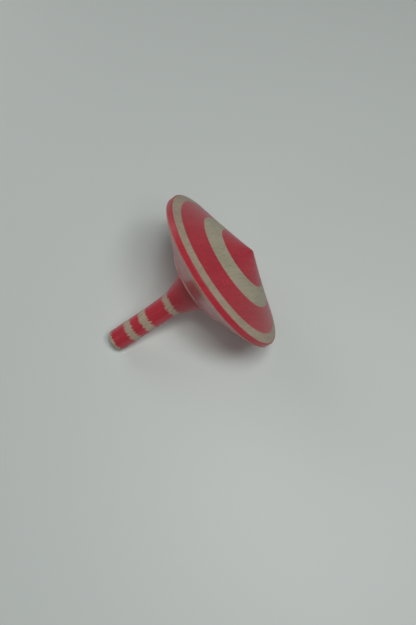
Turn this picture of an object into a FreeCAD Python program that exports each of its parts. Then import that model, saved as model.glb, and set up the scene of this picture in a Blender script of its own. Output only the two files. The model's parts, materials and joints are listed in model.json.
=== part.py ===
"""A turned wooden finger top, lying on its side as it comes to rest.

Three pieces make it: a disc with a low cone on its face and a back that ends in a small step and a flat seat, a handle
with a flared foot and a spigot, and the glue that holds the handle in the disc. Each piece is turned about
one axis.

Turning frame: r is the distance from the axis and s runs along the axis towards the tip, with s = 0 at the
back edge of the rim. Row frame: +Z up, the floor at z = 0, the axis in the XZ plane with the tip towards +X,
and the origin at the middle of the bottom of the bounding box.
"""

import math
import os

import FreeCAD
import Part

# Disc, in millimetres
RIM_R = 25.0          # radius of the disc
RIM_W = 1.75          # width of the straight rim band
RIM_ROUND = 0.3       # rounding of both rim edges
TIP_S = 11.0          # height of the tip above the back edge of the rim
TIP_ROUND = 0.7       # radius of the blunt point
FACE_HOLLOW = 0.2     # how far the cone face dips below a straight line
BACK_CROWN = 0.15     # how far the back bulges above a straight line
SHOULDER_R = 12.38    # radius of the shoulder, a small straight step between the crowned back and the flat seat
SHOULDER_S = -7.15    # where the crowned back meets the shoulder
SHOULDER_ROUND = 0.1
SEAT_S = -7.55        # height of the flat seat

# Joint between disc and handle
GLUE_T = 0.1          # thickness of the glue on every face
EDGE_EASE = 0.15      # how far the foot's edge is eased, which the glue fills
BORE_R = 3.6          # radius of the blind bore in the disc
BORE_TOP_S = 2.0      # where the bore ends, inside the disc

# Handle
FOOT_R = 8.1          # radius of the handle's foot
FLARE_SLOPE = 59.3    # degrees between the seat and the flare where it starts
FLARE_LEAD = 3.9      # how far the flare's start pulls its curve
FLARE_RUN = 2.35      # how far the flare's end pulls its curve
FLARE_END_R = 3.65    # radius where the flare runs out
FLARE_END_S = -18.9
STEM_R = 3.4          # radius of the straight finger grip
STEM_START_S = -25.5
END_S = -41.2         # top of the domed end
END_DOME = 0.4        # height of the dome
END_ROUND = 1.0       # rounding of the end's edge

TOUCH = 1e-6          # two lengths closer than this are the same
AXIS_FOOT = FreeCAD.Vector(0, 0, 0)
UP = FreeCAD.Vector(0, 0, 1)
ACROSS = FreeCAD.Vector(0, 1, 0)


def at(r, s):
    """A point of a turning profile."""
    return FreeCAD.Vector(r, 0, s)


def line(a, b):
    """A straight edge of a profile."""
    return Part.LineSegment(a, b).toShape()


def bow(a, b, rise):
    """An arc from a to b whose middle stands out by rise, to the left of the way from a to b."""
    along = (b - a).normalize()
    left = FreeCAD.Vector(-along.z, 0, along.x)
    middle = (a + b) * 0.5 + left * rise
    return Part.Arc(a, middle, b).toShape()


def pulled(start, lead, run, end):
    """A smooth curve that leaves start along the vector lead and reaches end along the vector run."""
    curve = Part.BezierCurve()
    curve.setPoles([start, start + lead, end - run, end])
    return curve.toShape()


def turned(edges):
    """The solid that a closed profile makes when it is turned once round the axis."""
    return Part.Face(Part.Wire(edges)).revolve(AXIS_FOOT, UP, 360)


def edges_at(solid, r, s):
    """The round edges of a solid that have radius r and lie at height s."""
    found = []
    for edge in solid.Edges:
        if edge.Degenerated or not isinstance(edge.Curve, Part.Circle):
            continue
        if abs(edge.Curve.Radius - r) < TOUCH and abs(edge.Curve.Center.z - s) < TOUCH:
            found.append(edge)
    return found


def lean_angle():
    """The angle between the axis and the floor when the rim's back edge and the handle's end both touch it.

    Both touching edges are rounded, so this is the common tangent of two circles in the profile's plane.
    """
    back_run = RIM_R - SHOULDER_R
    back_chord = math.hypot(back_run, SHOULDER_S)
    back_tilt = math.atan2(-SHOULDER_S, back_run) + 2 * math.atan(2 * BACK_CROWN / back_chord)
    rim_centre_s = RIM_ROUND * (1 - math.sin(back_tilt)) / math.cos(back_tilt)
    rim_centre_r = RIM_R - RIM_ROUND
    dome_r = (STEM_R ** 2 + END_DOME ** 2) / (2 * END_DOME)
    end_centre_r = STEM_R - END_ROUND
    end_centre_s = END_S + dome_r - math.sqrt((dome_r - END_ROUND) ** 2 - end_centre_r ** 2)
    run = rim_centre_s - end_centre_s
    climb = rim_centre_r - end_centre_r
    return math.atan2(climb, run) + math.asin((RIM_ROUND - END_ROUND) / math.hypot(run, climb))


def make_disc():
    """The flywheel: cone face with a blunt tip, straight rim, crowned back, stepped shoulder, flat seat and blind bore."""
    face_tilt = math.atan2(TIP_S - RIM_W, RIM_R)
    tip_edge_r = TIP_ROUND * math.sin(face_tilt)
    tip_edge_s = TIP_S - TIP_ROUND * (1 - math.cos(face_tilt))
    bore_end = at(BORE_R, BORE_TOP_S)
    bore_mouth = at(BORE_R, SEAT_S)
    seat_edge = at(SHOULDER_R, SEAT_S)
    shoulder = at(SHOULDER_R, SHOULDER_S)
    rim_back = at(RIM_R, 0)
    rim_front = at(RIM_R, RIM_W)
    tip_edge = at(tip_edge_r, tip_edge_s)
    tip = at(0, TIP_S)
    tip_rise = TIP_ROUND * (1 - math.cos(face_tilt / 2))
    solid = turned([
        line(at(0, BORE_TOP_S), bore_end),
        line(bore_end, bore_mouth),
        line(bore_mouth, seat_edge),
        line(seat_edge, shoulder),
        bow(shoulder, rim_back, -BACK_CROWN),
        line(rim_back, rim_front),
        bow(rim_front, tip_edge, FACE_HOLLOW),
        bow(tip_edge, tip, -tip_rise),
        line(tip, at(0, BORE_TOP_S)),
    ])
    rims = edges_at(solid, RIM_R, 0) + edges_at(solid, RIM_R, RIM_W)
    rounded = solid.makeFillet(RIM_ROUND, rims)
    steps = edges_at(rounded, SHOULDER_R, SHOULDER_S) + edges_at(rounded, SHOULDER_R, SEAT_S)
    return rounded.makeFillet(SHOULDER_ROUND, steps)


def make_handle():
    """The handle: spigot, flat foot, flare, straight grip and domed end."""
    foot_s = SEAT_S - GLUE_T
    spigot_r = BORE_R - GLUE_T
    spigot_top = BORE_TOP_S - GLUE_T
    spigot_edge = at(spigot_r, spigot_top)
    spigot_root = at(spigot_r, foot_s)
    foot_edge = at(FOOT_R - EDGE_EASE, foot_s)
    flare_start = at(FOOT_R, foot_s - EDGE_EASE)
    flare_end = at(FLARE_END_R, FLARE_END_S)
    grip_start = at(STEM_R, STEM_START_S)
    grip_end = at(STEM_R, END_S + END_DOME)
    end = at(0, END_S)
    slope = math.radians(FLARE_SLOPE)
    lead = at(-math.cos(slope), -math.sin(slope)) * FLARE_LEAD
    run = (grip_start - flare_end).normalize() * FLARE_RUN
    solid = turned([
        line(at(0, spigot_top), spigot_edge),
        line(spigot_edge, spigot_root),
        line(spigot_root, foot_edge),
        line(foot_edge, flare_start),
        pulled(flare_start, lead, run, flare_end),
        line(flare_end, grip_start),
        line(grip_start, grip_end),
        bow(grip_end, end, END_DOME / 4),
        line(end, at(0, spigot_top)),
    ])
    return solid.makeFillet(END_ROUND, edges_at(solid, STEM_R, END_S + END_DOME))


def make_glue_line():
    """The set glue: a cup round the spigot, a film under the foot, and the bead round the foot's eased edge."""
    foot_s = SEAT_S - GLUE_T
    spigot_r = BORE_R - GLUE_T
    profile = [
        at(0, BORE_TOP_S),
        at(BORE_R, BORE_TOP_S),
        at(BORE_R, SEAT_S),
        at(FOOT_R + EDGE_EASE, SEAT_S),
        at(FOOT_R, foot_s - EDGE_EASE),
        at(FOOT_R - EDGE_EASE, foot_s),
        at(spigot_r, foot_s),
        at(spigot_r, BORE_TOP_S - GLUE_T),
        at(0, BORE_TOP_S - GLUE_T),
    ]
    edges = [line(a, b) for a, b in zip(profile, profile[1:] + profile[:1])]
    return turned(edges)


def lay_down(shapes):
    """Tilt all pieces together onto the floor and put the origin at the middle of their footprint."""
    tilt = FreeCAD.Rotation(ACROSS, 90 - math.degrees(lean_angle()))
    for shape in shapes.values():
        shape.Placement = FreeCAD.Placement(FreeCAD.Vector(), tilt)
    box = Part.makeCompound(list(shapes.values())).optimalBoundingBox(False, False)
    move = FreeCAD.Vector(-box.Center.x, -box.Center.y, -box.ZMin)
    for shape in shapes.values():
        shape.Placement = FreeCAD.Placement(move, tilt)
    return move, box


def main():
    """Build every piece, lay the top down and write one file for each piece."""
    shapes = {
        "disc": make_disc(),
        "handle": make_handle(),
        "glue_line": make_glue_line(),
    }
    move, box = lay_down(shapes)
    os.makedirs("parts", exist_ok=True)
    for node, shape in shapes.items():
        shape.exportStep("parts/" + node + ".step")
        print(node, "valid", shape.isValid(), "volume mm3", round(shape.Volume, 2))
    print("lean deg", math.degrees(lean_angle()), "centre of the rim's back edge at", move)
    print("box mm", box.XLength, box.YLength, box.ZLength)


main()
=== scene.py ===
"""A hand-spun wooden top that lies on its side: its disc, its handle and the glue.

Lengths are millimetres in the dataclasses and metres in Blender. In the turning
frame, r is the distance from the turning axis and s runs along it towards the tip,
with s = 0 at the back edge of the rim.
"""

import json
import logging
import math
from dataclasses import dataclass
from enum import Enum

import bmesh
import bpy
from mathutils import Matrix, Vector


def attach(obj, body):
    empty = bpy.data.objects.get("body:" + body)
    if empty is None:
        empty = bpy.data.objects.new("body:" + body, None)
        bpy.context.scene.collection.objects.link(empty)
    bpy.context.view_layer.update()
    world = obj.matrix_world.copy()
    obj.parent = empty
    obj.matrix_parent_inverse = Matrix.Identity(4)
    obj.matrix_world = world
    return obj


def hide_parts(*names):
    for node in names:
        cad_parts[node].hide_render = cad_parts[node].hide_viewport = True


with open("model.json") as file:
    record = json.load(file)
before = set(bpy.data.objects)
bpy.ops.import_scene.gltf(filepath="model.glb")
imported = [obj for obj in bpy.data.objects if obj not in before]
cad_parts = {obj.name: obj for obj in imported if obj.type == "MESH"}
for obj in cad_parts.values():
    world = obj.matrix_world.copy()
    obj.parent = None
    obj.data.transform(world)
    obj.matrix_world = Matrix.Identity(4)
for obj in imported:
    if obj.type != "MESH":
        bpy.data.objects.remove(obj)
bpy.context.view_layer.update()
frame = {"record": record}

log = logging.getLogger("spinning_top")

MM = 0.001
BODY = "root"
Colour = tuple[float, float, float]
Place = tuple[float, float, float]


class Cover(Enum):
    """How much stain lies on the wood."""

    STAIN = 1.0
    WORN = 0.28
    TINTED = 0.1
    BARE = 0.0


@dataclass(frozen=True)
class Band:
    """A ring of one cover, up to a length along the outline, in millimetres."""

    cover: Cover
    end: float


@dataclass(frozen=True)
class TurningFrame:
    """Where the turning axis lies in the row frame."""

    origin: Vector
    axis: Vector

    @classmethod
    def from_record(cls, record: dict, tip_s: float) -> "TurningFrame":
        """Read the axis from the tip's mount.

        Args:
            record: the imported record.
            tip_s: height of the tip above the back edge of the rim, in millimetres.

        Returns:
            The frame whose origin is on the axis at the back edge of the rim.
        """
        tip = next(mount for mount in record["mounts"] if mount["name"] == "tip")
        axis = Vector(tip["axis"]).normalized()
        return cls(Vector(tip["pos_m"]) - axis * tip_s * MM, axis)

    @property
    def tilt(self) -> float:
        """The turn about +Y that carries +Z onto the axis."""
        return math.atan2(self.axis.x, self.axis.z)


class Outline:
    """The outline of a turned piece, in millimetres.

    It is drawn as a pen would: each call adds points (r, s).
    """

    def __init__(self, r: float, s: float) -> None:
        """Put the pen down at (r, s)."""
        self.points: list[Vector] = [Vector((r, s))]

    def line(self, r: float, s: float, step: float) -> "Outline":
        """Draw a straight stretch to (r, s).

        Args:
            r: radius of the stretch's end.
            s: height of the stretch's end.
            step: distance between points.

        Returns:
            The outline itself.
        """
        start, end = self.points[-1].copy(), Vector((r, s))
        count = max(1, round((end - start).length / step))
        self.points += [start.lerp(end, k / count) for k in range(1, count + 1)]
        return self

    def bow(self, r: float, s: float, rise: float, step: float) -> "Outline":
        """Draw an arc to (r, s).

        Args:
            r: radius of the arc's end.
            s: height of the arc's end.
            rise: how far the arc's middle stands to the left of the chord.
            step: distance between points.

        Returns:
            The outline itself.
        """
        start, end = self.points[-1].copy(), Vector((r, s))
        chord = end - start
        left = Vector((-chord.y, chord.x)).normalized()
        radius = (chord.length_squared / 4 + rise * rise) / (2 * rise)
        centre = (start + end) / 2 + left * (rise - radius)
        turn = -4 * math.atan(2 * rise / chord.length)
        count = max(2, round(abs(turn * radius) / step))
        for k in range(1, count + 1):
            part = Matrix.Rotation(turn * k / count, 2)
            self.points.append(centre + part @ (start - centre))
        return self

    def pulled(
        self, lead: Vector, run: Vector, r: float, s: float, step: float
    ) -> "Outline":
        """Draw a smooth curve to (r, s).

        Args:
            lead: pulls the curve's start, and is its first direction.
            run: pulls the curve's end, and is its last direction.
            r: radius of the curve's end.
            s: height of the curve's end.
            step: distance between points.

        Returns:
            The outline itself.
        """
        start, end = self.points[-1].copy(), Vector((r, s))
        count = max(2, round((end - start).length / step))
        for k in range(1, count + 1):
            t = k / count
            self.points.append(
                start * (1 - t) ** 3
                + (start + lead) * 3 * t * (1 - t) ** 2
                + (end - run) * 3 * t * t * (1 - t)
                + end * t ** 3
            )
        return self

    def soften(self, r: float, s: float, reach: float, steps: int = 6) -> "Outline":
        """Round a corner with an arc.

        Args:
            r: radius of the corner.
            s: height of the corner.
            reach: how far from the corner the arc starts and ends.
            steps: number of stretches in the arc.

        Returns:
            The outline itself.
        """
        corner = Vector((r, s))
        near = [k for k, p in enumerate(self.points) if (p - corner).length <= reach]
        before, after = self.points[near[0] - 1], self.points[near[-1] + 1]
        start = corner + (before - corner).normalized() * reach
        end = corner + (after - corner).normalized() * reach
        weight = math.sin((start - corner).angle(end - corner) / 2)
        arc = []
        for k in range(steps + 1):
            t = k / steps
            shares = ((1 - t) ** 2, 2 * weight * t * (1 - t), t * t)
            total = sum(shares)
            mixed = start * shares[0] + corner * shares[1] + end * shares[2]
            arc.append(mixed / total)
        self.points[near[0]:near[-1] + 1] = arc
        return self

    def lengths(self) -> list[float]:
        """Measure along the outline.

        Returns:
            The distance of each point from the first.
        """
        found = [0.0]
        for a, b in zip(self.points, self.points[1:]):
            found.append(found[-1] + (b - a).length)
        return found

    def along(self, r: float, s: float) -> float:
        """Find a place on the outline.

        Args:
            r: radius of the place.
            s: height of the place.

        Returns:
            The length up to the outline's nearest point.
        """
        target = Vector((r, s))
        ways = [(point - target).length for point in self.points]
        return self.lengths()[ways.index(min(ways))]

    @property
    def total(self) -> float:
        """Length of the whole outline."""
        return self.lengths()[-1]


@dataclass(frozen=True)
class ToolMarks:
    """What the tool and the sanding left on a piece, in millimetres."""

    ridge_height: float
    ridge_pitch: float
    unevenness: float                       # how far sanding has moved the surface
    seed: float                             # picks this piece's own pattern


@dataclass(frozen=True)
class Lathe:
    """Turns an outline into a closed solid with Geometry Nodes."""

    place: TurningFrame
    segments: int = 240
    weld: float = 1e-6                      # metres between points that are joined
    row_clearance: float = 0.0001           # keeps a row's number clear of rounding
    sanding_scale: float = 0.9              # patches of sanding in one turn

    def tree(self) -> bpy.types.NodeTree:
        """Build the node tree.

        Returns:
            A tree that bends a grid round the axis: its rows follow the outline and
            its columns are the segments.
        """
        tree = bpy.data.node_groups.new("lathe", "GeometryNodeTree")
        for name, side, kind in (
            ("Outline", "INPUT", "Geometry"),
            ("Segments", "INPUT", "Int"),
            ("Ridge Height", "INPUT", "Float"),
            ("Ridges per Metre", "INPUT", "Float"),
            ("Unevenness", "INPUT", "Float"),
            ("Seed", "INPUT", "Float"),
            ("Origin", "INPUT", "Vector"),
            ("Tilt", "INPUT", "Vector"),
            ("Weld", "INPUT", "Float"),
            ("Finish", "INPUT", "Material"),
            ("Piece", "OUTPUT", "Geometry"),
        ):
            kind = "NodeSocket" + kind
            tree.interface.new_socket(name, in_out=side, socket_type=kind)
        new, link = tree.nodes.new, tree.links.new

        given = new("NodeGroupInput")
        given.label = "sizes of this piece"

        count = new("GeometryNodeAttributeDomainSize")
        count.label = "points of the outline"
        count.component = "MESH"
        link(given.outputs["Outline"], count.inputs["Geometry"])

        columns = new("ShaderNodeMath")
        columns.label = "columns, the last on the first"
        columns.operation = "ADD"
        columns.inputs[1].default_value = 1.0
        link(given.outputs["Segments"], columns.inputs[0])

        grid = new("GeometryNodeMeshGrid")
        grid.label = "rows along the outline, columns round the axis"
        link(count.outputs["Point Count"], grid.inputs["Vertices X"])
        link(columns.outputs[0], grid.inputs["Vertices Y"])

        index = new("GeometryNodeInputIndex")
        index.label = "number of the point"

        share = new("ShaderNodeMath")
        share.label = "row and part of a row"
        share.operation = "DIVIDE"
        link(index.outputs[0], share.inputs[0])
        link(columns.outputs[0], share.inputs[1])

        nudge = new("ShaderNodeMath")
        nudge.label = "clear of rounding"
        nudge.operation = "ADD"
        nudge.inputs[1].default_value = self.row_clearance
        link(share.outputs[0], nudge.inputs[0])

        row = new("ShaderNodeMath")
        row.label = "row"
        row.operation = "FLOOR"
        link(nudge.outputs[0], row.inputs[0])

        skipped = new("ShaderNodeMath")
        skipped.label = "points in the rows before"
        skipped.operation = "MULTIPLY"
        link(row.outputs[0], skipped.inputs[0])
        link(columns.outputs[0], skipped.inputs[1])

        column = new("ShaderNodeMath")
        column.label = "column"
        column.operation = "SUBTRACT"
        link(index.outputs[0], column.inputs[0])
        link(skipped.outputs[0], column.inputs[1])

        turn = new("ShaderNodeMath")
        turn.label = "share of a turn"
        turn.operation = "DIVIDE"
        link(column.outputs[0], turn.inputs[0])
        link(given.outputs["Segments"], turn.inputs[1])

        angle = new("ShaderNodeMath")
        angle.label = "angle"
        angle.operation = "MULTIPLY"
        angle.inputs[1].default_value = math.tau
        link(turn.outputs[0], angle.inputs[0])

        position = new("GeometryNodeInputPosition")
        position.label = "place on the outline"
        values = [("place", "FLOAT_VECTOR", position.outputs[0])]
        for name, data_type in (("outward", "FLOAT_VECTOR"), ("along", "FLOAT")):
            kept = new("GeometryNodeInputNamedAttribute")
            kept.label = name + ", kept on the outline"
            kept.data_type = data_type
            kept.inputs["Name"].default_value = name
            values.append((name, data_type, kept.outputs["Attribute"]))
        of_row = {}
        for name, data_type, value in values:
            sample = new("GeometryNodeSampleIndex")
            sample.label = name + " of this row"
            sample.data_type = data_type
            link(given.outputs["Outline"], sample.inputs["Geometry"])
            link(value, sample.inputs["Value"])
            link(row.outputs[0], sample.inputs["Index"])
            of_row[name] = sample.outputs[0]

        ways_round = {}
        for operation, label in (("COSINE", "across"), ("SINE", "sideways")):
            way = new("ShaderNodeMath")
            way.label = "share " + label
            way.operation = operation
            link(angle.outputs[0], way.inputs[0])
            ways_round[label] = way.outputs[0]

        ridge_place = new("ShaderNodeMath")
        ridge_place.label = "where in the ridges"
        ridge_place.operation = "MULTIPLY"
        link(of_row["along"], ridge_place.inputs[0])
        link(given.outputs["Ridges per Metre"], ridge_place.inputs[1])
        ridge_seeded = new("ShaderNodeMath")
        ridge_seeded.label = "this piece's own ridges"
        ridge_seeded.operation = "ADD"
        link(ridge_place.outputs[0], ridge_seeded.inputs[0])
        link(given.outputs["Seed"], ridge_seeded.inputs[1])
        ridges = new("ShaderNodeTexNoise")
        ridges.label = "ridges that the tool left"
        ridges.noise_dimensions = "1D"
        ridges.inputs["Scale"].default_value = 1.0
        ridges.inputs["Detail"].default_value = 1.0
        link(ridge_seeded.outputs[0], ridges.inputs["W"])

        circle = new("ShaderNodeCombineXYZ")
        circle.label = "way round, for noise that closes"
        link(ways_round["across"], circle.inputs["X"])
        link(ways_round["sideways"], circle.inputs["Y"])
        link(ridge_seeded.outputs[0], circle.inputs["Z"])
        uneven = new("ShaderNodeTexNoise")
        uneven.label = "hand sanding"
        uneven.inputs["Scale"].default_value = self.sanding_scale
        uneven.inputs["Detail"].default_value = 2.0
        link(circle.outputs[0], uneven.inputs["Vector"])

        heights = []
        for noise, height, label in (
            (ridges, "Ridge Height", "height of the ridges"),
            (uneven, "Unevenness", "depth of the sanding"),
        ):
            raised = new("ShaderNodeMapRange")
            raised.label = label
            raised.clamp = False
            raised.inputs["From Min"].default_value = 0.5
            raised.inputs["From Max"].default_value = 1.0
            raised.inputs["To Min"].default_value = 0.0
            link(noise.outputs[0], raised.inputs["Value"])
            link(given.outputs[height], raised.inputs["To Max"])
            heights.append(raised.outputs[0])

        lift = new("ShaderNodeMath")
        lift.label = "how far the surface stands out"
        lift.operation = "ADD"
        link(heights[0], lift.inputs[0])
        link(heights[1], lift.inputs[1])

        lifted = new("ShaderNodeVectorMath")
        lifted.label = "outline with ridges"
        lifted.operation = "MULTIPLY_ADD"
        link(of_row["outward"], lifted.inputs[0])
        link(lift.outputs[0], lifted.inputs[1])
        link(of_row["place"], lifted.inputs[2])
        parts = new("ShaderNodeSeparateXYZ")
        parts.label = "radius and height"
        link(lifted.outputs[0], parts.inputs[0])

        turned = new("ShaderNodeCombineXYZ")
        turned.label = "turned place"
        for way_round, coordinate in (("across", "X"), ("sideways", "Y")):
            reach = new("ShaderNodeMath")
            reach.label = way_round
            reach.operation = "MULTIPLY"
            link(parts.outputs["X"], reach.inputs[0])
            link(ways_round[way_round], reach.inputs[1])
            link(reach.outputs[0], turned.inputs[coordinate])
        link(parts.outputs["Z"], turned.inputs["Z"])

        placed = new("GeometryNodeSetPosition")
        placed.label = "bend the grid round the axis"
        link(grid.outputs["Mesh"], placed.inputs["Geometry"])
        link(turned.outputs[0], placed.inputs["Position"])

        stored = new("GeometryNodeStoreNamedAttribute")
        stored.label = "keep the length for the finish"
        stored.data_type = "FLOAT"
        stored.domain = "POINT"
        stored.inputs["Name"].default_value = "along"
        link(placed.outputs[0], stored.inputs["Geometry"])
        link(of_row["along"], stored.inputs["Value"])

        welded = new("GeometryNodeMergeByDistance")
        welded.label = "close the seam and the poles"
        link(stored.outputs[0], welded.inputs["Geometry"])
        link(given.outputs["Weld"], welded.inputs["Distance"])

        smooth = new("GeometryNodeSetShadeSmooth")
        smooth.label = "smooth"
        link(welded.outputs[0], smooth.inputs["Geometry"])

        laid = new("GeometryNodeTransform")
        laid.label = "lay the piece down"
        link(smooth.outputs[0], laid.inputs["Geometry"])
        link(given.outputs["Origin"], laid.inputs["Translation"])
        link(given.outputs["Tilt"], laid.inputs["Rotation"])

        real = new("GeometryNodeRealizeInstances")
        real.label = "plain mesh"
        link(laid.outputs[0], real.inputs["Geometry"])

        finished = new("GeometryNodeSetMaterial")
        finished.label = "finish"
        link(real.outputs[0], finished.inputs["Geometry"])
        link(given.outputs["Finish"], finished.inputs["Material"])

        result = new("NodeGroupOutput")
        result.label = "the turned piece"
        link(finished.outputs[0], result.inputs["Piece"])
        for number, node in enumerate(tree.nodes):
            node.location = (220 * (number // 5), -240 * (number % 5))
        return tree

    def turn(
        self, name: str, outline: Outline, finish: bpy.types.Material, marks: ToolMarks
    ) -> bpy.types.Object:
        """Turn one piece.

        Args:
            name: name of the new object.
            outline: closed on the axis at both ends, in millimetres.
            finish: the piece's material.
            marks: what the tool and the sanding left on it.

        Returns:
            A plain mesh object in the row frame.
        """
        chain = bpy.data.meshes.new(name + "_outline")
        count = len(outline.points)
        links = [(k, k + 1) for k in range(count - 1)]
        places = [(p.x * MM, 0.0, p.y * MM) for p in outline.points]
        chain.from_pydata(places, links, [])
        along = chain.attributes.new("along", "FLOAT", "POINT")
        along.data.foreach_set("value", [length * MM for length in outline.lengths()])
        outward = chain.attributes.new("outward", "FLOAT_VECTOR", "POINT")
        for k in range(1, count - 1):
            way = (outline.points[k + 1] - outline.points[k - 1]).normalized()
            outward.data[k].vector = (-way.y, 0.0, way.x)
        holder = bpy.data.objects.new(name + "_lathe", chain)
        bpy.context.scene.collection.objects.link(holder)

        modifier = holder.modifiers.new("lathe", "NODES")
        modifier.node_group = self.tree()
        values = {
            "Segments": self.segments,
            "Ridge Height": marks.ridge_height * MM,
            "Ridges per Metre": 1.0 / (marks.ridge_pitch * MM),
            "Unevenness": marks.unevenness * MM,
            "Seed": marks.seed,
            "Origin": tuple(self.place.origin),
            "Tilt": (0.0, self.place.tilt, 0.0),
            "Weld": self.weld,
            "Finish": finish,
        }
        for item in modifier.node_group.interface.items_tree:
            if item.in_out == "INPUT" and item.name in values:
                modifier[item.identifier] = values[item.name]
        graph = bpy.context.evaluated_depsgraph_get()
        graph.update()
        mesh = bpy.data.meshes.new_from_object(holder.evaluated_get(graph))
        mesh.name = name
        holder.modifiers.remove(modifier)
        bpy.data.objects.remove(holder)

        shell = bmesh.new()
        shell.from_mesh(mesh)
        bmesh.ops.recalc_face_normals(shell, faces=shell.faces)
        shell.to_mesh(mesh)
        shell.free()
        piece = bpy.data.objects.new(name, mesh)
        bpy.context.scene.collection.objects.link(piece)
        return piece


@dataclass(frozen=True)
class WoodFinish:
    """Varnished wood with stained bands. Colours are linear, lengths millimetres."""

    name: str
    fibre: tuple[float, float, float]       # stretch of the pattern, turning frame
    edge_wander: float                      # how far a band's edge strays
    seed: float
    stain: Colour = (0.57, 0.048, 0.070)
    stain_deep: Colour = (0.45, 0.032, 0.048)
    wood: Colour = (0.52, 0.475, 0.35)
    wood_dark: Colour = (0.40, 0.355, 0.255)
    check_colour: Colour = (0.14, 0.11, 0.08)
    # pale pink of the rubbed edge: worn stain, made brighter than stain or bare wood as
    # a painted highlight
    rubbed_highlight_colour: Colour = (0.80, 0.42, 0.39)
    edge_blur: float = 0.12                 # width of the soft edge of a band
    wander_scale: float = 2.6               # scales count patterns in a millimetre
    grain_scale: float = 1.6
    figure_scale: float = 0.22
    fleck_scale: float = 1.5
    check_scale: float = 2.4
    check_depth: float = 0.6
    cloud_share: float = 0.45               # share of the clouds in the figure
    fleck_share: float = 0.55
    mark_pitch: float = 0.16                # distance between fine tool marks
    mark_relief: float = 0.006
    grain_relief: float = 0.02
    roughness_stain: float = 0.36
    roughness_wood: float = 0.6
    specular: float = 0.3
    coat_stain: float = 0.05
    coat_wood: float = 0.05
    coat_polished: float = 0.5              # varnish past polished_from
    coat_roughness: float = 0.12
    polished_from: float = 1000.0           # length along the outline
    polish_run: float = 0.3                 # width over which the polish sets in
    rubbed_highlight_at: float = -1000.0              # middle of the rubbed edge, with its painted highlight, along the outline
    rubbed_highlight_half: float = 0.3

    def build(
        self, place: TurningFrame, bands: list[Band], total: float
    ) -> bpy.types.Material:
        """Build the material.

        Args:
            place: where the turning axis lies.
            bands: the bands in order along the outline.
            total: length of the outline, in millimetres.

        Returns:
            The new material.
        """
        material = bpy.data.materials.new(self.name)
        material.use_nodes = True
        tree = material.node_tree
        tree.nodes.clear()
        new, link = tree.nodes.new, tree.links.new

        # Places on the piece, in millimetres of the turning frame
        place_frame = new("NodeFrame")
        place_frame.label = "place on the piece"

        coordinates = new("ShaderNodeTexCoord")
        coordinates.label = "place in the row frame"

        turning = new("ShaderNodeMapping")
        turning.label = "into the turning frame, in millimetres"
        turning.vector_type = "TEXTURE"
        turning.inputs["Location"].default_value = place.origin
        turning.inputs["Rotation"].default_value = (0.0, place.tilt, 0.0)
        turning.inputs["Scale"].default_value = (MM, MM, MM)
        link(coordinates.outputs["Object"], turning.inputs["Vector"])

        fibres = new("ShaderNodeMapping")
        fibres.label = "drawn out along the fibres"
        fibres.inputs["Location"].default_value = Vector((1, 2, 3)) * self.seed
        fibres.inputs["Scale"].default_value = self.fibre
        link(turning.outputs[0], fibres.inputs["Vector"])

        along = new("ShaderNodeAttribute")
        along.label = "length along the outline"
        along.attribute_name = "along"

        for node, location in (
            (coordinates, (-2400, 0)),
            (turning, (-2200, 0)),
            (fibres, (-2000, 0)),
            (along, (-2200, -400)),
        ):
            node.parent, node.location = place_frame, location

        # Bands of stain, with edges that stray along the fibres
        band_frame = new("NodeFrame")
        band_frame.label = "bands of stain"

        wander = new("ShaderNodeTexNoise")
        wander.label = "stain drawn along the fibres"
        wander.inputs["Scale"].default_value = self.wander_scale
        wander.inputs["Detail"].default_value = 3.0
        wander.inputs["Roughness"].default_value = 0.6
        link(fibres.outputs[0], wander.inputs["Vector"])

        stray = new("ShaderNodeMapRange")
        stray.label = "how far the edge strays"
        stray.clamp = False
        stray.inputs["From Min"].default_value = 0.3
        stray.inputs["From Max"].default_value = 0.7
        stray.inputs["To Min"].default_value = -self.edge_wander * MM
        stray.inputs["To Max"].default_value = self.edge_wander * MM
        link(wander.outputs[0], stray.inputs["Value"])

        strayed = new("ShaderNodeMath")
        strayed.label = "strayed length"
        strayed.operation = "ADD"
        link(along.outputs["Fac"], strayed.inputs[0])
        link(stray.outputs[0], strayed.inputs[1])

        whole = new("ShaderNodeMath")
        whole.label = "share of the outline"
        whole.operation = "DIVIDE"
        whole.inputs[1].default_value = total * MM
        link(strayed.outputs[0], whole.inputs[0])

        stained = new("ShaderNodeValToRGB")
        stained.label = "stained bands and bare rings"
        ramp = stained.color_ramp
        half_blur = self.edge_blur / total / 2
        first = bands[0].cover.value
        ramp.elements[0].position = 0.0
        ramp.elements[0].color = (first, first, first, 1.0)
        last = bands[-1].cover.value
        ramp.elements[1].position = 1.0
        ramp.elements[1].color = (last, last, last, 1.0)
        for band, following in zip(bands, bands[1:]):
            for cover, side in ((band.cover, -half_blur), (following.cover, half_blur)):
                stop = ramp.elements.new(band.end / total + side)
                stop.color = (cover.value, cover.value, cover.value, 1.0)
        link(whole.outputs[0], stained.inputs["Fac"])

        for node, location in (
            (wander, (-1700, -400)),
            (stray, (-1500, -400)),
            (strayed, (-1300, -400)),
            (whole, (-1100, -400)),
            (stained, (-900, -400)),
        ):
            node.parent, node.location = band_frame, location

        # The wood's own figure
        wood_frame = new("NodeFrame")
        wood_frame.label = "figure of the wood"

        grain = new("ShaderNodeTexNoise")
        grain.label = "fine grain"
        grain.inputs["Scale"].default_value = self.grain_scale
        grain.inputs["Detail"].default_value = 6.0
        grain.inputs["Roughness"].default_value = 0.62
        link(fibres.outputs[0], grain.inputs["Vector"])

        figure = new("ShaderNodeTexNoise")
        figure.label = "broad clouds"
        figure.inputs["Scale"].default_value = self.figure_scale
        figure.inputs["Detail"].default_value = 3.0
        link(fibres.outputs[0], figure.inputs["Vector"])

        flecks = new("ShaderNodeTexVoronoi")
        flecks.label = "ray flecks and pores"
        flecks.inputs["Scale"].default_value = self.fleck_scale
        link(fibres.outputs[0], flecks.inputs["Vector"])

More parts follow.
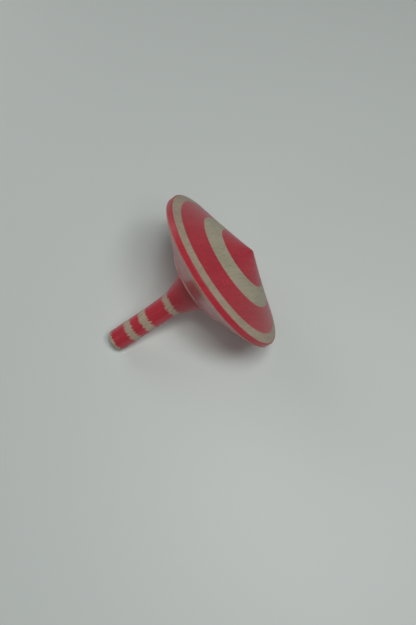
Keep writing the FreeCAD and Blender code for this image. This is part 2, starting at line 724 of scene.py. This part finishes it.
        fleck_mask = new("ShaderNodeMapRange")
        fleck_mask.label = "only the heart of each fleck"
        fleck_mask.inputs["From Min"].default_value = 0.10
        fleck_mask.inputs["From Max"].default_value = 0.22
        fleck_mask.inputs["To Min"].default_value = 1.0
        fleck_mask.inputs["To Max"].default_value = 0.0
        link(flecks.outputs["Distance"], fleck_mask.inputs["Value"])

        checks = new("ShaderNodeTexNoise")
        checks.label = "fine checks in the wood"
        checks.inputs["Scale"].default_value = self.check_scale
        checks.inputs["Detail"].default_value = 1.0
        link(fibres.outputs[0], checks.inputs["Vector"])

        check_mask = new("ShaderNodeMapRange")
        check_mask.label = "only the deepest checks"
        check_mask.inputs["From Min"].default_value = 0.66
        check_mask.inputs["From Max"].default_value = 0.76
        check_mask.inputs["To Max"].default_value = self.check_depth
        link(checks.outputs[0], check_mask.inputs["Value"])

        darkness = new("ShaderNodeMix")
        darkness.label = "grain and clouds"
        darkness.data_type = "FLOAT"
        darkness.inputs["Factor"].default_value = self.cloud_share
        link(grain.outputs[0], darkness.inputs["A"])
        link(figure.outputs[0], darkness.inputs["B"])

        contrast = new("ShaderNodeMapRange")
        contrast.label = "contrast of the grain"
        contrast.inputs["From Min"].default_value = 0.36
        contrast.inputs["From Max"].default_value = 0.66
        link(darkness.outputs["Result"], contrast.inputs["Value"])

        flecked = new("ShaderNodeMath")
        flecked.label = "grain with flecks"
        flecked.operation = "MULTIPLY_ADD"
        flecked.inputs[1].default_value = self.fleck_share
        link(fleck_mask.outputs[0], flecked.inputs[0])
        link(contrast.outputs[0], flecked.inputs[2])

        bare = new("ShaderNodeMix")
        bare.label = "bare wood"
        bare.data_type = "RGBA"
        bare.inputs["A"].default_value = (*self.wood, 1.0)
        bare.inputs["B"].default_value = (*self.wood_dark, 1.0)
        link(flecked.outputs[0], bare.inputs["Factor"])

        checked = new("ShaderNodeMix")
        checked.label = "bare wood with checks"
        checked.data_type = "RGBA"
        checked.inputs["B"].default_value = (*self.check_colour, 1.0)
        link(check_mask.outputs[0], checked.inputs["Factor"])
        link(bare.outputs["Result"], checked.inputs["A"])

        for node, location in (
            (grain, (-1700, 400)),
            (figure, (-1700, 700)),
            (flecks, (-1700, 1000)),
            (fleck_mask, (-1500, 1000)),
            (checks, (-1700, 1300)),
            (check_mask, (-1500, 1300)),
            (darkness, (-1300, 500)),
            (contrast, (-1100, 500)),
            (flecked, (-900, 600)),
            (bare, (-650, 500)),
            (checked, (-500, 700)),
        ):
            node.parent, node.location = wood_frame, location

        # The stain, with the grain showing through it, and a rubbed edge whose pale
        # colour is worn stain with a painted highlight
        stain_frame = new("NodeFrame")
        stain_frame.label = "stain over the grain"

        red = new("ShaderNodeMix")
        red.label = "stain, deeper in the grain"
        red.data_type = "RGBA"
        red.inputs["A"].default_value = (*self.stain, 1.0)
        red.inputs["B"].default_value = (*self.stain_deep, 1.0)
        link(flecked.outputs[0], red.inputs["Factor"])

        colour = new("ShaderNodeMix")
        colour.label = "stained or bare"
        colour.data_type = "RGBA"
        link(stained.outputs["Color"], colour.inputs["Factor"])
        link(checked.outputs["Result"], colour.inputs["A"])
        link(red.outputs["Result"], colour.inputs["B"])

        millimetres = new("ShaderNodeMath")
        millimetres.label = "length in millimetres"
        millimetres.operation = "DIVIDE"
        millimetres.inputs[1].default_value = MM
        link(along.outputs["Fac"], millimetres.inputs[0])

        # the step's rubbed edge, where worn stain carries a painted highlight
        rubbed_and_highlit = new("ShaderNodeMath")
        rubbed_and_highlit.label = "on the rubbed edge"
        rubbed_and_highlit.operation = "COMPARE"
        rubbed_and_highlit.inputs[1].default_value = self.rubbed_highlight_at
        rubbed_and_highlit.inputs[2].default_value = self.rubbed_highlight_half
        link(millimetres.outputs[0], rubbed_and_highlit.inputs[0])

        # mix in the pale colour of the rubbed edge: worn stain with a painted highlight
        worn_and_highlit = new("ShaderNodeMix")
        worn_and_highlit.label = "rubbed pale"
        worn_and_highlit.data_type = "RGBA"
        worn_and_highlit.inputs["B"].default_value = (*self.rubbed_highlight_colour, 1.0)
        link(rubbed_and_highlit.outputs[0], worn_and_highlit.inputs["Factor"])
        link(colour.outputs["Result"], worn_and_highlit.inputs["A"])

        for node, location in (
            (red, (-650, 100)),
            (colour, (-350, 200)),
            (millimetres, (-800, -100)),
            (rubbed_and_highlit, (-600, -100)),
            (worn_and_highlit, (-150, 200)),
        ):
            node.parent, node.location = stain_frame, location

        # Gloss and relief
        gloss_frame = new("NodeFrame")
        gloss_frame.label = "gloss and relief"

        gloss = new("ShaderNodeMapRange")
        gloss.label = "the stain takes more polish"
        gloss.inputs["To Min"].default_value = self.roughness_wood
        gloss.inputs["To Max"].default_value = self.roughness_stain
        link(stained.outputs["Color"], gloss.inputs["Value"])

        varnish = new("ShaderNodeMapRange")
        varnish.label = "the stain carries more varnish"
        varnish.inputs["To Min"].default_value = self.coat_wood
        varnish.inputs["To Max"].default_value = self.coat_stain
        link(stained.outputs["Color"], varnish.inputs["Value"])

        polished = new("ShaderNodeMapRange")
        polished.label = "where the varnish is thick and smooth"
        polish_end = self.polished_from + self.polish_run
        polished.inputs["From Min"].default_value = self.polished_from * MM
        polished.inputs["From Max"].default_value = polish_end * MM
        link(along.outputs["Fac"], polished.inputs["Value"])

        coat = new("ShaderNodeMix")
        coat.label = "thin or thick varnish"
        coat.data_type = "FLOAT"
        coat.inputs["B"].default_value = self.coat_polished
        link(polished.outputs[0], coat.inputs["Factor"])
        link(varnish.outputs[0], coat.inputs["A"])

        marks = new("ShaderNodeMath")
        marks.label = "where in the tool marks"
        marks.operation = "MULTIPLY"
        marks.inputs[1].default_value = 1.0 / (self.mark_pitch * MM)
        link(along.outputs["Fac"], marks.inputs[0])

        lines = new("ShaderNodeTexNoise")
        lines.label = "fine tool marks"
        lines.noise_dimensions = "1D"
        lines.inputs["Scale"].default_value = 1.0
        lines.inputs["Detail"].default_value = 2.0
        link(marks.outputs[0], lines.inputs["W"])

        line_bump = new("ShaderNodeBump")
        line_bump.label = "relief of the tool marks"
        line_bump.inputs["Strength"].default_value = 0.5
        line_bump.inputs["Distance"].default_value = self.mark_relief * MM
        link(lines.outputs[0], line_bump.inputs["Height"])

        grain_bump = new("ShaderNodeBump")
        grain_bump.label = "relief of the grain"
        grain_bump.inputs["Strength"].default_value = 0.6
        grain_bump.inputs["Distance"].default_value = self.grain_relief * MM
        grain_bump.invert = True
        link(flecked.outputs[0], grain_bump.inputs["Height"])
        link(line_bump.outputs[0], grain_bump.inputs["Normal"])

        for node, location in (
            (gloss, (-600, -500)),
            (varnish, (-600, -200)),
            (polished, (-600, 0)),
            (coat, (-350, -200)),
            (marks, (-1300, -900)),
            (lines, (-1100, -900)),
            (line_bump, (-600, -900)),
            (grain_bump, (-400, -900)),
        ):
            node.parent, node.location = gloss_frame, location

        shader = new("ShaderNodeBsdfPrincipled")
        shader.label = "varnished wood"
        shader.location = (0, 0)
        shader.inputs["Specular IOR Level"].default_value = self.specular
        shader.inputs["Coat Roughness"].default_value = self.coat_roughness
        link(worn_and_highlit.outputs["Result"], shader.inputs["Base Color"])
        link(gloss.outputs[0], shader.inputs["Roughness"])
        link(coat.outputs["Result"], shader.inputs["Coat Weight"])
        link(grain_bump.outputs[0], shader.inputs["Normal"])
        link(line_bump.outputs[0], shader.inputs["Coat Normal"])

        output = new("ShaderNodeOutputMaterial")
        output.label = "surface"
        output.location = (320, 0)
        link(shader.outputs[0], output.inputs["Surface"])
        return material


@dataclass(frozen=True)
class GlueFinish:
    """Dried wood glue, tinted by the stain beside it. Colours are linear."""

    name: str = "dried_glue"
    pale: Colour = (0.52, 0.34, 0.30)
    tinted: Colour = (0.42, 0.14, 0.13)
    patch_scale: float = 420.0              # patches in a metre
    lump_relief: float = 0.03               # millimetres
    roughness: float = 0.35

    def build(self) -> bpy.types.Material:
        """Build the material.

        Returns:
            The new material.
        """
        material = bpy.data.materials.new(self.name)
        material.use_nodes = True
        tree = material.node_tree
        tree.nodes.clear()
        new, link = tree.nodes.new, tree.links.new

        place_frame = new("NodeFrame")
        place_frame.label = "place on the bead"
        colour_frame = new("NodeFrame")
        colour_frame.label = "stain in the glue"
        relief_frame = new("NodeFrame")
        relief_frame.label = "relief"

        coordinates = new("ShaderNodeTexCoord")
        coordinates.label = "place in the row frame"

        patches = new("ShaderNodeTexNoise")
        patches.label = "patches of stain on the bead"
        patches.inputs["Scale"].default_value = self.patch_scale
        patches.inputs["Detail"].default_value = 3.0
        link(coordinates.outputs["Object"], patches.inputs["Vector"])

        tint = new("ShaderNodeMapRange")
        tint.label = "how much stain took"
        tint.inputs["From Min"].default_value = 0.4
        tint.inputs["From Max"].default_value = 0.7
        link(patches.outputs[0], tint.inputs["Value"])

        colour = new("ShaderNodeMix")
        colour.label = "pale glue and tinted glue"
        colour.data_type = "RGBA"
        colour.inputs["A"].default_value = (*self.pale, 1.0)
        colour.inputs["B"].default_value = (*self.tinted, 1.0)
        link(tint.outputs[0], colour.inputs["Factor"])

        lumps = new("ShaderNodeBump")
        lumps.label = "small lumps"
        lumps.inputs["Distance"].default_value = self.lump_relief * MM
        link(patches.outputs[0], lumps.inputs["Height"])

        for node, frame_node, location in (
            (coordinates, place_frame, (-900, 0)),
            (patches, place_frame, (-700, 0)),
            (tint, colour_frame, (-500, 0)),
            (colour, colour_frame, (-300, 0)),
            (lumps, relief_frame, (-300, -300)),
        ):
            node.parent, node.location = frame_node, location

        shader = new("ShaderNodeBsdfPrincipled")
        shader.label = "dried glue"
        shader.location = (0, 0)
        shader.inputs["Roughness"].default_value = self.roughness
        link(colour.outputs["Result"], shader.inputs["Base Color"])
        link(lumps.outputs[0], shader.inputs["Normal"])

        output = new("ShaderNodeOutputMaterial")
        output.label = "surface"
        output.location = (300, 0)
        link(shader.outputs[0], output.inputs["Surface"])
        return material


@dataclass(frozen=True)
class Joint:
    """The glued joint between disc and handle, in millimetres."""

    seat_s: float = -7.55                   # height of the disc's flat seat
    foot_r: float = 8.1
    glue: float = 0.1
    ease: float = 0.15
    bore_r: float = 3.6
    bore_top: float = 2.0
    coarse: float = 3.0                     # step between points where nothing shows
    fine: float = 0.05                      # step between points on an eased edge

    @property
    def foot_s(self) -> float:
        """Height of the handle's foot."""
        return self.seat_s - self.glue


@dataclass(frozen=True)
class Disc:
    """The flywheel, in millimetres.

    It has a hollow cone face with a blunt tip, a straight rim and a crowned back
    that ends in a small step.
    """

    rim_r: float = 25.0
    rim_w: float = 1.75
    rim_reach: float = 0.16
    tip_s: float = 11.0
    tip_round: float = 0.7
    face_hollow: float = 0.2
    back_crown: float = 0.15
    shoulder_r: float = 12.38
    shoulder_s: float = -7.15               # the back meets the small step here
    shoulder_reach: float = 0.1
    step: float = 0.16                      # step between points of the outline
    tip_step: float = 0.08
    shoulder_step: float = 0.04
    ring_0_r: float = 24.7                  # red of the rim ends here, going in
    ring_1_r: float = 22.2                  # outer red ring of the face starts here
    ring_2_r: float = 15.15                 # wide bare ring starts here
    ring_3_r: float = 9.76                  # red cone starts here
    rim_worn: float = 0.15                  # worn width on the rim's back edge
    back_ring_r: float = 22.8               # worn ring of the back ends here
    worn_tip: float = 0.3
    rub_highlight_shift: float = 0.05                 # the rubbed edge, with its painted highlight, lies nearer to the back of the step
    marks: ToolMarks = ToolMarks(
        ridge_height=0.010, ridge_pitch=0.9, unevenness=0.03, seed=3.0
    )

    def outline(self, joint: Joint) -> Outline:
        """Draw the disc from the tip over the rim to the seat and the bore.

        Args:
            joint: sizes of the glued joint.

        Returns:
            The outline, closed on the axis at both ends.
        """
        tilt = math.atan2(self.tip_s - self.rim_w, self.rim_r)
        tip_r = self.tip_round * math.sin(tilt)
        tip_edge_s = self.tip_s - self.tip_round * (1 - math.cos(tilt))
        tip_rise = self.tip_round * (1 - math.cos(tilt / 2))
        drawn = Outline(0.0, self.tip_s)
        drawn.bow(tip_r, tip_edge_s, tip_rise, self.tip_step)
        drawn.bow(self.rim_r, self.rim_w, -self.face_hollow, self.step)
        drawn.line(self.rim_r, 0.0, self.step)
        drawn.bow(self.shoulder_r, self.shoulder_s, self.back_crown, self.step)
        drawn.line(self.shoulder_r, joint.seat_s, self.shoulder_step)
        drawn.line(joint.foot_r, joint.seat_s, 2 * self.step)
        drawn.line(joint.bore_r, joint.seat_s, joint.coarse)
        drawn.line(joint.bore_r, joint.bore_top, joint.coarse)
        drawn.line(0.0, joint.bore_top, joint.coarse)
        drawn.soften(self.rim_r, self.rim_w, self.rim_reach)
        drawn.soften(self.rim_r, 0.0, self.rim_reach)
        drawn.soften(self.shoulder_r, self.shoulder_s, self.shoulder_reach)
        drawn.soften(self.shoulder_r, joint.seat_s, self.shoulder_reach)
        return drawn

    def bands(self, drawn: Outline) -> list[Band]:
        """List the disc's rings.

        Args:
            drawn: the disc's outline.

        Returns:
            The bands from the tip outwards and over the rim.
        """
        face = (self.tip_s - self.rim_w) / self.rim_r
        back = self.shoulder_s / (self.rim_r - self.shoulder_r)

        def on_face(r: float) -> float:
            """Length at radius r of the face."""
            return drawn.along(r, self.tip_s - face * r)

        def on_back(r: float) -> float:
            """Length at radius r of the back."""
            return drawn.along(r, back * (self.rim_r - r) - self.back_crown)

        return [
            Band(Cover.WORN, self.worn_tip),
            Band(Cover.STAIN, on_face(self.ring_3_r)),
            Band(Cover.BARE, on_face(self.ring_2_r)),
            Band(Cover.STAIN, on_face(self.ring_1_r)),
            Band(Cover.TINTED, on_face(self.ring_0_r)),
            Band(Cover.STAIN, drawn.along(self.rim_r, 0.0) - self.rim_worn),
            Band(Cover.WORN, on_back(self.back_ring_r)),
            Band(Cover.STAIN, drawn.total),
        ]

    def build(self, lathe: Lathe, joint: Joint) -> bpy.types.Object:
        """Turn and dress the disc.

        Args:
            lathe: the lathe that turns it.
            joint: sizes of the glued joint.

        Returns:
            The finished piece.
        """
        drawn = self.outline(joint)
        step_middle = (self.shoulder_s + joint.seat_s) / 2
        finish = WoodFinish(
            "disc_wood",
            fibre=(0.09, 1.0, 1.0),
            edge_wander=0.05,
            seed=11.0,
            polished_from=drawn.along(self.rim_r, 0.0),
            # the step's rubbed edge, worn and given a painted highlight
            rubbed_highlight_at=drawn.along(self.shoulder_r, step_middle) - self.rub_highlight_shift,
        )
        material = finish.build(lathe.place, self.bands(drawn), drawn.total)
        piece = lathe.turn("turned_disc", drawn, material, self.marks)
        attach(piece, BODY)
        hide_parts("disc")
        return piece


@dataclass(frozen=True)
class Handle:
    """The finger grip, in millimetres: foot, hollow flare, grip and domed end."""

    flare_slope: float = 59.3               # degrees from the seat to the flare's start
    flare_lead: float = 3.9
    flare_run: float = 2.35
    flare_end_r: float = 3.65
    flare_end_s: float = -18.9
    grip_r: float = 3.4
    grip_start_s: float = -25.5
    end_s: float = -41.2
    end_dome: float = 0.4
    end_reach: float = 0.79                 # the end's rounding reaches this far
    end_steps: int = 10
    step: float = 0.16
    ring_edges: tuple[float, ...] = (
        -16.96, -19.16, -26.02, -28.65, -32.02, -34.40, -39.64
    )
    marks: ToolMarks = ToolMarks(
        ridge_height=0.012, ridge_pitch=1.1, unevenness=0.04, seed=8.0
    )

    def outline(self, joint: Joint) -> Outline:
        """Draw the handle from the spigot over the foot to the end.

        Args:
            joint: sizes of the glued joint.

        Returns:
            The outline, closed on the axis at both ends.
        """
        spigot_r = joint.bore_r - joint.glue
        spigot_top = joint.bore_top - joint.glue
        drawn = Outline(0.0, spigot_top)
        drawn.line(spigot_r, spigot_top, joint.coarse)
        drawn.line(spigot_r, joint.foot_s, joint.coarse)
        drawn.line(joint.foot_r - joint.ease, joint.foot_s, joint.coarse)
        drawn.line(joint.foot_r, joint.foot_s - joint.ease, joint.fine)
        slope = math.radians(self.flare_slope)
        lead = Vector((-math.cos(slope), -math.sin(slope))) * self.flare_lead
        taper = Vector(
            (self.grip_r - self.flare_end_r, self.grip_start_s - self.flare_end_s)
        )
        run = taper.normalized() * self.flare_run
        drawn.pulled(lead, run, self.flare_end_r, self.flare_end_s, self.step)
        drawn.line(self.grip_r, self.grip_start_s, self.step)
        drawn.line(self.grip_r, self.end_s + self.end_dome, self.step)
        half_rise = self.end_dome / 4       # half of a low arc rises a quarter as far
        drawn.bow(0.0, self.end_s, half_rise, self.step)
        dome_s = self.end_s + self.end_dome
        drawn.soften(self.grip_r, dome_s, self.end_reach, self.end_steps)
        return drawn

    def radius_at(self, s: float) -> float:
        """Estimate the radius, well enough to find a place on the outline.

        Args:
            s: height on the flare's end or on the grip.

        Returns:
            The radius near that height.
        """
        taper = self.flare_end_s - self.grip_start_s
        share = max(0.0, (s - self.grip_start_s) / taper)
        return self.grip_r + share * (self.flare_end_r - self.grip_r)

    def bands(self, drawn: Outline) -> list[Band]:
        """List the handle's rings.

        Args:
            drawn: the handle's outline.

        Returns:
            The bands from the foot to the end.
        """
        covers = [Cover.STAIN, Cover.TINTED] * 3 + [Cover.STAIN, Cover.BARE]
        ends = [drawn.along(self.radius_at(s), s) for s in self.ring_edges]
        ends.append(drawn.total)
        return [Band(cover, end) for cover, end in zip(covers, ends)]

    def build(self, lathe: Lathe, joint: Joint) -> bpy.types.Object:
        """Turn and dress the handle.

        Args:
            lathe: the lathe that turns it.
            joint: sizes of the glued joint.

        Returns:
            The finished piece.
        """
        drawn = self.outline(joint)
        finish = WoodFinish(
            "handle_wood",
            fibre=(1.0, 1.0, 0.10),
            edge_wander=0.6,
            seed=5.0,
            edge_blur=0.35,
            coat_stain=0.25,
        )
        material = finish.build(lathe.place, self.bands(drawn), drawn.total)
        piece = lathe.turn("turned_handle", drawn, material, self.marks)
        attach(piece, BODY)
        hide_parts("handle")
        return piece


@dataclass(frozen=True)
class GlueLine:
    """The set glue: a cup round the spigot, a film under the foot and a bead."""

    bead: float = 0.05                      # how far the bead bulges
    bead_step: float = 0.04
    marks: ToolMarks = ToolMarks(
        ridge_height=0.0, ridge_pitch=1.0, unevenness=0.03, seed=21.0
    )

    def outline(self, joint: Joint) -> Outline:
        """Draw the glue from the bore's top over the bead and back to the spigot.

        Args:
            joint: sizes of the glued joint.

        Returns:
            The outline, closed on the axis at both ends.
        """
        spigot_r = joint.bore_r - joint.glue
        drawn = Outline(0.0, joint.bore_top)
        drawn.line(joint.bore_r, joint.bore_top, joint.coarse)
        drawn.line(joint.bore_r, joint.seat_s, joint.coarse)
        drawn.line(joint.foot_r + joint.ease, joint.seat_s, joint.coarse)
        drawn.bow(joint.foot_r, joint.foot_s - joint.ease, self.bead, self.bead_step)
        drawn.line(joint.foot_r - joint.ease, joint.foot_s, joint.fine)
        drawn.line(spigot_r, joint.foot_s, joint.coarse)
        drawn.line(spigot_r, joint.bore_top - joint.glue, joint.coarse)
        drawn.line(0.0, joint.bore_top - joint.glue, joint.coarse)
        return drawn

    def build(self, lathe: Lathe, joint: Joint) -> bpy.types.Object:
        """Turn and dress the glue.

        Args:
            lathe: the lathe that turns it.
            joint: sizes of the glued joint.

        Returns:
            The finished piece.
        """
        material = GlueFinish().build()
        piece = lathe.turn("set_glue_line", self.outline(joint), material, self.marks)
        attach(piece, BODY)
        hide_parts("glue_line")
        return piece


@dataclass(frozen=True)
class Table:
    """The pale laminate that the top lies on."""

    half_width: float = 1.5                 # metres
    colour: Colour = (0.69, 0.745, 0.715)
    roughness: float = 0.5

    def finish(self) -> bpy.types.Material:
        """Build the material.

        Returns:
            The new material.
        """
        material = bpy.data.materials.new("pale_laminate")
        material.use_nodes = True
        tree = material.node_tree
        tree.nodes.clear()

        shader = tree.nodes.new("ShaderNodeBsdfPrincipled")
        shader.label = "matt laminate"
        shader.location = (0, 0)
        shader.inputs["Base Color"].default_value = (*self.colour, 1.0)
        shader.inputs["Roughness"].default_value = self.roughness

        output = tree.nodes.new("ShaderNodeOutputMaterial")
        output.label = "surface"
        output.location = (300, 0)
        tree.links.new(shader.outputs[0], output.inputs["Surface"])
        return material

    def build(self) -> None:
        """Make the table's top."""
        mesh = bpy.data.meshes.new("table")
        w = self.half_width
        corners = [(-w, -w, 0), (w, -w, 0), (w, w, 0), (-w, w, 0)]
        mesh.from_pydata(corners, [], [(0, 1, 2, 3)])
        mesh.materials.append(self.finish())
        table = bpy.data.objects.new("table", mesh)
        bpy.context.scene.collection.objects.link(table)


@dataclass(frozen=True)
class SoftLight:
    """A square white light that faces the top. Lengths are metres."""

    name: str
    place: Place
    side: float
    watts: float

    def build(self, aim: Vector) -> None:
        """Hang the light.

        Args:
            aim: the point that the light faces.
        """
        light = bpy.data.lights.new(self.name, "AREA")
        light.size = self.side
        light.energy = self.watts
        lamp = bpy.data.objects.new(self.name, light)
        lamp.location = self.place
        lamp.rotation_mode = "QUATERNION"
        lamp.rotation_quaternion = (aim - lamp.location).to_track_quat("-Z", "Y")
        bpy.context.scene.collection.objects.link(lamp)


@dataclass(frozen=True)
class Studio:
    """A pale room with four ceiling panels, a window and a weak low lamp."""

    room_colour: Colour = (0.93, 0.98, 1.0)
    room_strength: float = 0.018
    lights: tuple[SoftLight, ...] = (
        SoftLight("panel_above", (0.03, -0.06, 0.45), 0.11, 0.60),
        SoftLight("panel_right", (0.125, -0.145, 0.45), 0.10, 0.42),
        SoftLight("panel_left", (-0.10, -0.17, 0.45), 0.09, 0.06),
        SoftLight("panel_front", (0.06, -0.26, 0.45), 0.08, 0.12),
        SoftLight("window", (-0.12, 0.42, 0.20), 0.26, 0.42),
        SoftLight("lamp_low", (-0.32, -0.01, 0.12), 0.12, 0.05),
    )

    def build(self, aim: Vector) -> None:
        """Light the room.

        Args:
            aim: the point that the lights face.
        """
        world = bpy.data.worlds.new("room")
        world.use_nodes = True
        background = world.node_tree.nodes["Background"]
        background.inputs["Color"].default_value = (*self.room_colour, 1.0)
        background.inputs["Strength"].default_value = self.room_strength
        bpy.context.scene.world = world
        bpy.context.scene.view_settings.view_transform = "Standard"
        for light in self.lights:
            light.build(aim)


@dataclass(frozen=True)
class Camera:
    """A hand-held camera that looks steeply down on the table."""

    aim: Place = (0.0064, -0.00288, 0.0)    # metres
    distance: float = 0.19175               # metres
    azimuth: float = -25.24                 # degrees
    elevation: float = 71.30                # degrees
    lens: float = 34.56                     # millimetres
    sensor: float = 36.0                    # millimetres

    def build(self) -> None:
        """Place the camera level with the horizon."""
        turn, rise = math.radians(self.azimuth), math.radians(self.elevation)
        flat = math.cos(rise)
        back = Vector((math.sin(turn) * flat, -math.cos(turn) * flat, math.sin(rise)))
        data = bpy.data.cameras.new("camera")
        data.lens = self.lens
        data.sensor_width = self.sensor
        data.clip_start = 0.01
        camera = bpy.data.objects.new("camera", data)
        camera.location = Vector(self.aim) + back * self.distance
        camera.rotation_mode = "QUATERNION"
        camera.rotation_quaternion = (-back).to_track_quat("-Z", "Y")
        bpy.context.scene.collection.objects.link(camera)
        bpy.context.scene.camera = camera


def main() -> None:
    """Build the pieces, the table, the light and the camera, and report each piece."""
    logging.basicConfig(level=logging.INFO, format="%(name)s: %(message)s")
    disc, handle, glue, joint = Disc(), Handle(), GlueLine(), Joint()
    lathe = Lathe(TurningFrame.from_record(frame["record"], disc.tip_s))
    for part in (disc, handle, glue):
        piece = part.build(lathe, joint)
        log.info("%s: %d faces", piece.name, len(piece.data.polygons))
    Table().build()
    Studio().build(lathe.place.origin)
    Camera().build()


if __name__ == "__main__":
    main()
